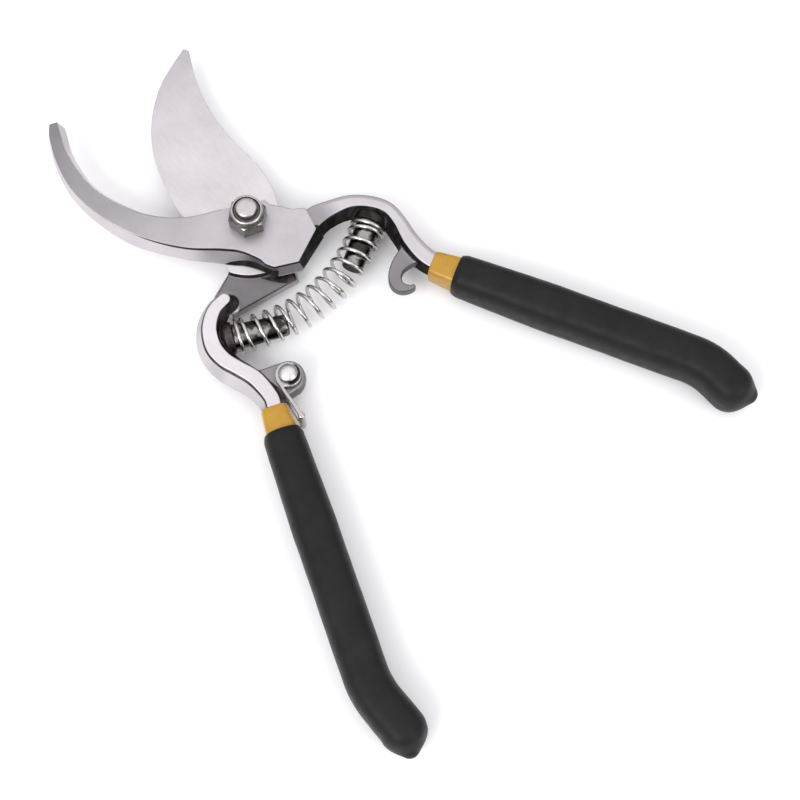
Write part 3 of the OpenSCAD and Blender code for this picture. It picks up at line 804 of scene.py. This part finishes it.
MATERIALS = {
    "hook_steel": forged_steel("hook_steel", (0.89, 0.845, 0.875), (0.02, 0.019, 0.018)),
    "blade_steel": forged_steel("blade_steel", (0.9, 0.856, 0.876), (0.036, 0.03, 0.03)),
    "bolt_steel": plated("bolt_steel", (0.54, 0.52, 0.51), 0.18, 0.34),
    "nut_steel": plated("nut_steel", (0.52, 0.5, 0.49), 0.16, 0.32, shaded=(0.06, 0.057, 0.051)),
    "insert_nylon": vinyl("insert_nylon", (0.07, 0.058, 0.056), (0.11, 0.09, 0.088), 0.35, 0.5, 0.4,
                          3000, 0.1),
    "spring_wire": plated("spring_wire", (0.6, 0.58, 0.56), 0.12, 0.24, 0.04),
    "latch_steel": plated("latch_steel", (0.5, 0.48, 0.48), 0.22, 0.38, shaded=(0.02, 0.018, 0.018)),
    "rivet_steel": plated("rivet_steel", (0.7, 0.69, 0.68), 0.2, 0.32, shaded=(0.03, 0.028, 0.027)),
    "undercoat_vinyl": vinyl("undercoat_vinyl", (0.44, 0.245, 0.012), (0.37, 0.19, 0.01), 0.24, 0.36, 0.5,
                             2500, 0.08),
    "grip_vinyl": vinyl("grip_vinyl", (0.007, 0.007, 0.0075), (0.012, 0.0118, 0.012), 0.45, 0.6, 0.19,
                        3200, 0.4, chalk=0.1),
}


def put(obj, slot, body, node):
    obj.data.materials.append(MATERIALS[slot])
    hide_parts(node)
    if body:
        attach(obj, body)
    return obj


# ---- the pieces ----

FINE = 0.25
ARM_LEVELS = np.concatenate([np.arange(2.05, 7.2, FINE), [7.28, 7.4, 7.55], np.arange(7.78, 13.2, FINE)])

put(carve_on("hook_arm", "hook_arm_forging", hook_arm, FINE, levels=ARM_LEVELS, marks=hook_marks,
             within=((-40, -54, 0), (40, 80, 20))), "hook_steel", "hook_side", "hook_arm")
put(carve_on("blade_arm", "blade_arm_forging", blade_arm, FINE, levels=ARM_LEVELS, marks=blade_marks,
             within=((-50, -54, 0), (40, 80, 20))), "blade_steel", "blade_side", "blade_arm")
put(carve_on("pivot_bolt", "pivot_bolt_turned", pivot_bolt, 0.15), "bolt_steel", "hook_side", "pivot_bolt")
put(carve_on("pivot_nut", "locking_nut", pivot_nut, 0.12, marks=nut_marks),
    "nut_steel", "hook_side", "pivot_nut")
put(carve_on("nut_insert", "locking_ring", nut_insert, 0.1), "insert_nylon", "hook_side", "nut_insert")
put(carve_on("latch_bail", "latch_bail_bent", latch_bail, 0.14, marks=bail_marks),
    "latch_steel", "bail", "latch_bail")
put(carve_on("latch_rivet", "latch_rivet_domed", latch_rivet, 0.12, marks=rivet_marks),
    "rivet_steel", "blade_side", "latch_rivet")
for side, body, handle in (("hook_arm", "hook_side", HOOK_HANDLE), ("blade_arm", "blade_side", BLADE_HANDLE)):
    start = np.array([*handle[0], MID_Z])
    put(carve_on(f"{side}_undercoat", f"{side}_collar", undercoat(handle), 0.2,
                 within=(start - 12, start + 12)), "undercoat_vinyl", body, f"{side}_undercoat")
    put(carve_on(f"{side}_grip", f"{side}_dipped_grip", grip(handle), 0.4, pad=1.6),
        "grip_vinyl", body, f"{side}_grip")


# ---- spring ----

WIRE_R, COIL_R, TURNS = 0.55, 4.75, 15
# The coil stays straight this far along a stub's axis, then bends towards where the two axes cross
SEAT_RUN, BEND_PULL = 5.0, 0.68
# Close turns at each end, their pitch, and the part of a turn at which the wire starts
CLOSED_TURNS, CLOSED_PITCH, START_TURN = 1.3, 2.4 * WIRE_R, -0.35
STEPS_PER_TURN, WIRE_SIDES = 40, 14


def coil_path():
    """The coil's centre line: straight off one stub, an even bend, and straight onto the other."""
    (b0, a0, _), (b1, a1, _) = BLADE_STUB, HOOK_STUB
    b0, b1, d0, d1 = np.array(b0), np.array(b1), heading(a0), heading(a1)
    gap = b1 - b0
    cross = b0 + d0 * (gap[0] * d1[1] - gap[1] * d1[0]) / (d0[0] * d1[1] - d0[1] * d1[0])
    first = SEAT_H + 0.2 + WIRE_R
    p0, p3 = b0 + d0 * SEAT_RUN, b1 + d1 * SEAT_RUN
    p1, p2 = p0 + (cross - p0) * BEND_PULL, p3 + (cross - p3) * BEND_PULL
    t = np.linspace(0, 1, 97)[:, None]
    bent = p0 * (1 - t) ** 3 + p1 * 3 * t * (1 - t) ** 2 + p2 * 3 * t**2 * (1 - t) + p3 * t**3
    return np.vstack([b0 + d0 * first, bent, b1 + d1 * first])


def wire_line(path):
    """The wire's centre line, with the turn count and the direction off the coil's axis at each step."""
    run = run_of(path)

    def at(s):
        return np.column_stack([np.interp(s, run, path[:, k]) for k in (0, 1)])

    turn = np.linspace(0, TURNS, TURNS * STEPS_PER_TURN + 1)
    close_run = CLOSED_TURNS * CLOSED_PITCH
    place = np.interp(turn, [0, CLOSED_TURNS, TURNS - CLOSED_TURNS, TURNS],
                      [0, close_run, run[-1] - close_run, run[-1]])
    ahead = at(place + 1) - at(place - 1)
    ahead /= np.linalg.norm(ahead, axis=1, keepdims=True)
    left = np.column_stack([-ahead[:, 1], ahead[:, 0], np.zeros(len(ahead))])
    angle = 2 * np.pi * (turn + START_TURN)[:, None]
    out = left * np.cos(angle) + np.array([0, 0, 1.0]) * np.sin(angle)
    middle = np.column_stack([at(place), np.full(len(turn), MID_Z)]) + out * COIL_R
    return turn, middle, out


def coil_faces(steps):
    n, k = np.meshgrid(np.arange(steps - 1), np.arange(WIRE_SIDES), indexing="ij")
    a, b = n * WIRE_SIDES + k, n * WIRE_SIDES + (k + 1) % WIRE_SIDES
    faces = np.stack([a, b, b + WIRE_SIDES, a + WIRE_SIDES], -1).reshape(-1, 4).tolist()
    last = (steps - 1) * WIRE_SIDES
    return faces + [list(range(WIRE_SIDES))[::-1], list(range(last, last + WIRE_SIDES))]


def spring():
    """The coil as one round wire. Its open turns pass evenly from one arm's motion to the other's."""
    path = coil_path()
    turn, middle, out = wire_line(path)
    along = np.gradient(middle, axis=0)
    along /= np.linalg.norm(along, axis=1, keepdims=True)
    side = np.cross(along, out)
    w = (2 * np.pi * np.arange(WIRE_SIDES) / WIRE_SIDES)[None, :, None]
    rings = middle[:, None] + WIRE_R * (out[:, None] * np.cos(w) + side[:, None] * np.sin(w))
    mesh = bpy.data.meshes.new("coil_spring")
    mesh.from_pydata(rings.reshape(-1, 3) * MM, [], coil_faces(len(turn)))
    mesh.shade_smooth()
    obj = bpy.data.objects.new("coil_spring", mesh)
    bpy.context.scene.collection.objects.link(obj)
    put(obj, "spring_wire", None, "spring")
    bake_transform(obj, "blade_side", "hook_side",
             start=(*path[0] * MM, MID_Z * MM), end=(*path[-1] * MM, MID_Z * MM))
    share = np.clip((turn - CLOSED_TURNS) / (TURNS - 2 * CLOSED_TURNS), 0, 1)
    shares = np.repeat(share, WIRE_SIDES).astype(np.float32)
    mesh.attributes["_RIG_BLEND"].data.foreach_set("value", shares)


spring()


# ---- floor, light and camera ----

AZIMUTH, ELEVATION = math.radians(-44), math.radians(71.4)
TARGET = Vector((-0.0056, -0.0688, 0.0075))
DISTANCE, SENSOR_W, LENS = 0.55, 36, 87.86
BACK = Vector((math.sin(AZIMUTH) * math.cos(ELEVATION), -math.cos(AZIMUTH) * math.cos(ELEVATION),
               math.sin(ELEVATION)))
FLOOR_HALF, FLOOR_Z = 3000, -0.05


def set_camera():
    data = bpy.data.cameras.new("camera")
    data.sensor_width, data.lens = SENSOR_W, LENS
    camera = bpy.data.objects.new("camera", data)
    camera.location = TARGET + BACK * DISTANCE
    camera.rotation_euler = (-BACK).to_track_quat("-Z", "Y").to_euler()
    bpy.context.scene.collection.objects.link(camera)
    bpy.context.scene.camera = camera


def softbox(name, direction, distance, size, power):
    data = bpy.data.lights.new(name, "AREA")
    data.shape, data.size, data.energy = "DISK", size, power
    lamp = bpy.data.objects.new(name, data)
    lamp.location = TARGET + Vector(direction).normalized() * distance
    lamp.rotation_euler = Vector(direction).to_track_quat("Z", "Y").to_euler()
    bpy.context.scene.collection.objects.link(lamp)


def set_floor():
    corners = [(-1, -1), (1, -1), (1, 1), (-1, 1)]
    points = np.array([(x * FLOOR_HALF, y * FLOOR_HALF, FLOOR_Z) for x, y in corners])
    floor = make_object("floor", points, np.array([[0, 1, 2, 3]]))
    material, tree, shader = nodes_of("pale_floor")
    shade = spread(tree, noise(tree, place_of(tree), 3, 2), 0, 1)
    tree.links.new(mix(tree, shade, (0.93, 0.93, 0.93), (0.9, 0.9, 0.9)), shader.inputs["Base Color"])
    shader.inputs["Roughness"].default_value = 0.9
    shader.inputs["Specular IOR Level"].default_value = 0.1
    floor.data.materials.append(material)


def set_light():
    """An even studio glow that brightens upwards, with one softbox over -X and one over -Y."""
    world = bpy.data.worlds.new("studio")
    world.use_nodes = True
    tree = world.node_tree
    direction = add(tree, "ShaderNodeTexCoord").outputs["Generated"]
    height = add(tree, "ShaderNodeSeparateXYZ", {0: direction}).outputs[2]
    glow = add(tree, "ShaderNodeMapRange",
               {"Value": height, "From Min": 0.1, "From Max": 0.85, "To Min": 0.22, "To Max": 1.38},
               interpolation_type="SMOOTHSTEP").outputs[0]
    background = tree.nodes["Background"].inputs
    background["Color"].default_value = (0.98, 0.97, 1, 1)
    tree.links.new(glow, background["Strength"])
    bpy.context.scene.world = world
    softbox("key", (-0.8, -0.1, 0.75), 1.3, 0.8, 9)
    softbox("fill", (0.2, -0.85, 0.5), 1.4, 0.7, 4)
    bpy.context.scene.view_settings.view_transform = "Standard"


set_camera()
set_floor()
set_light()
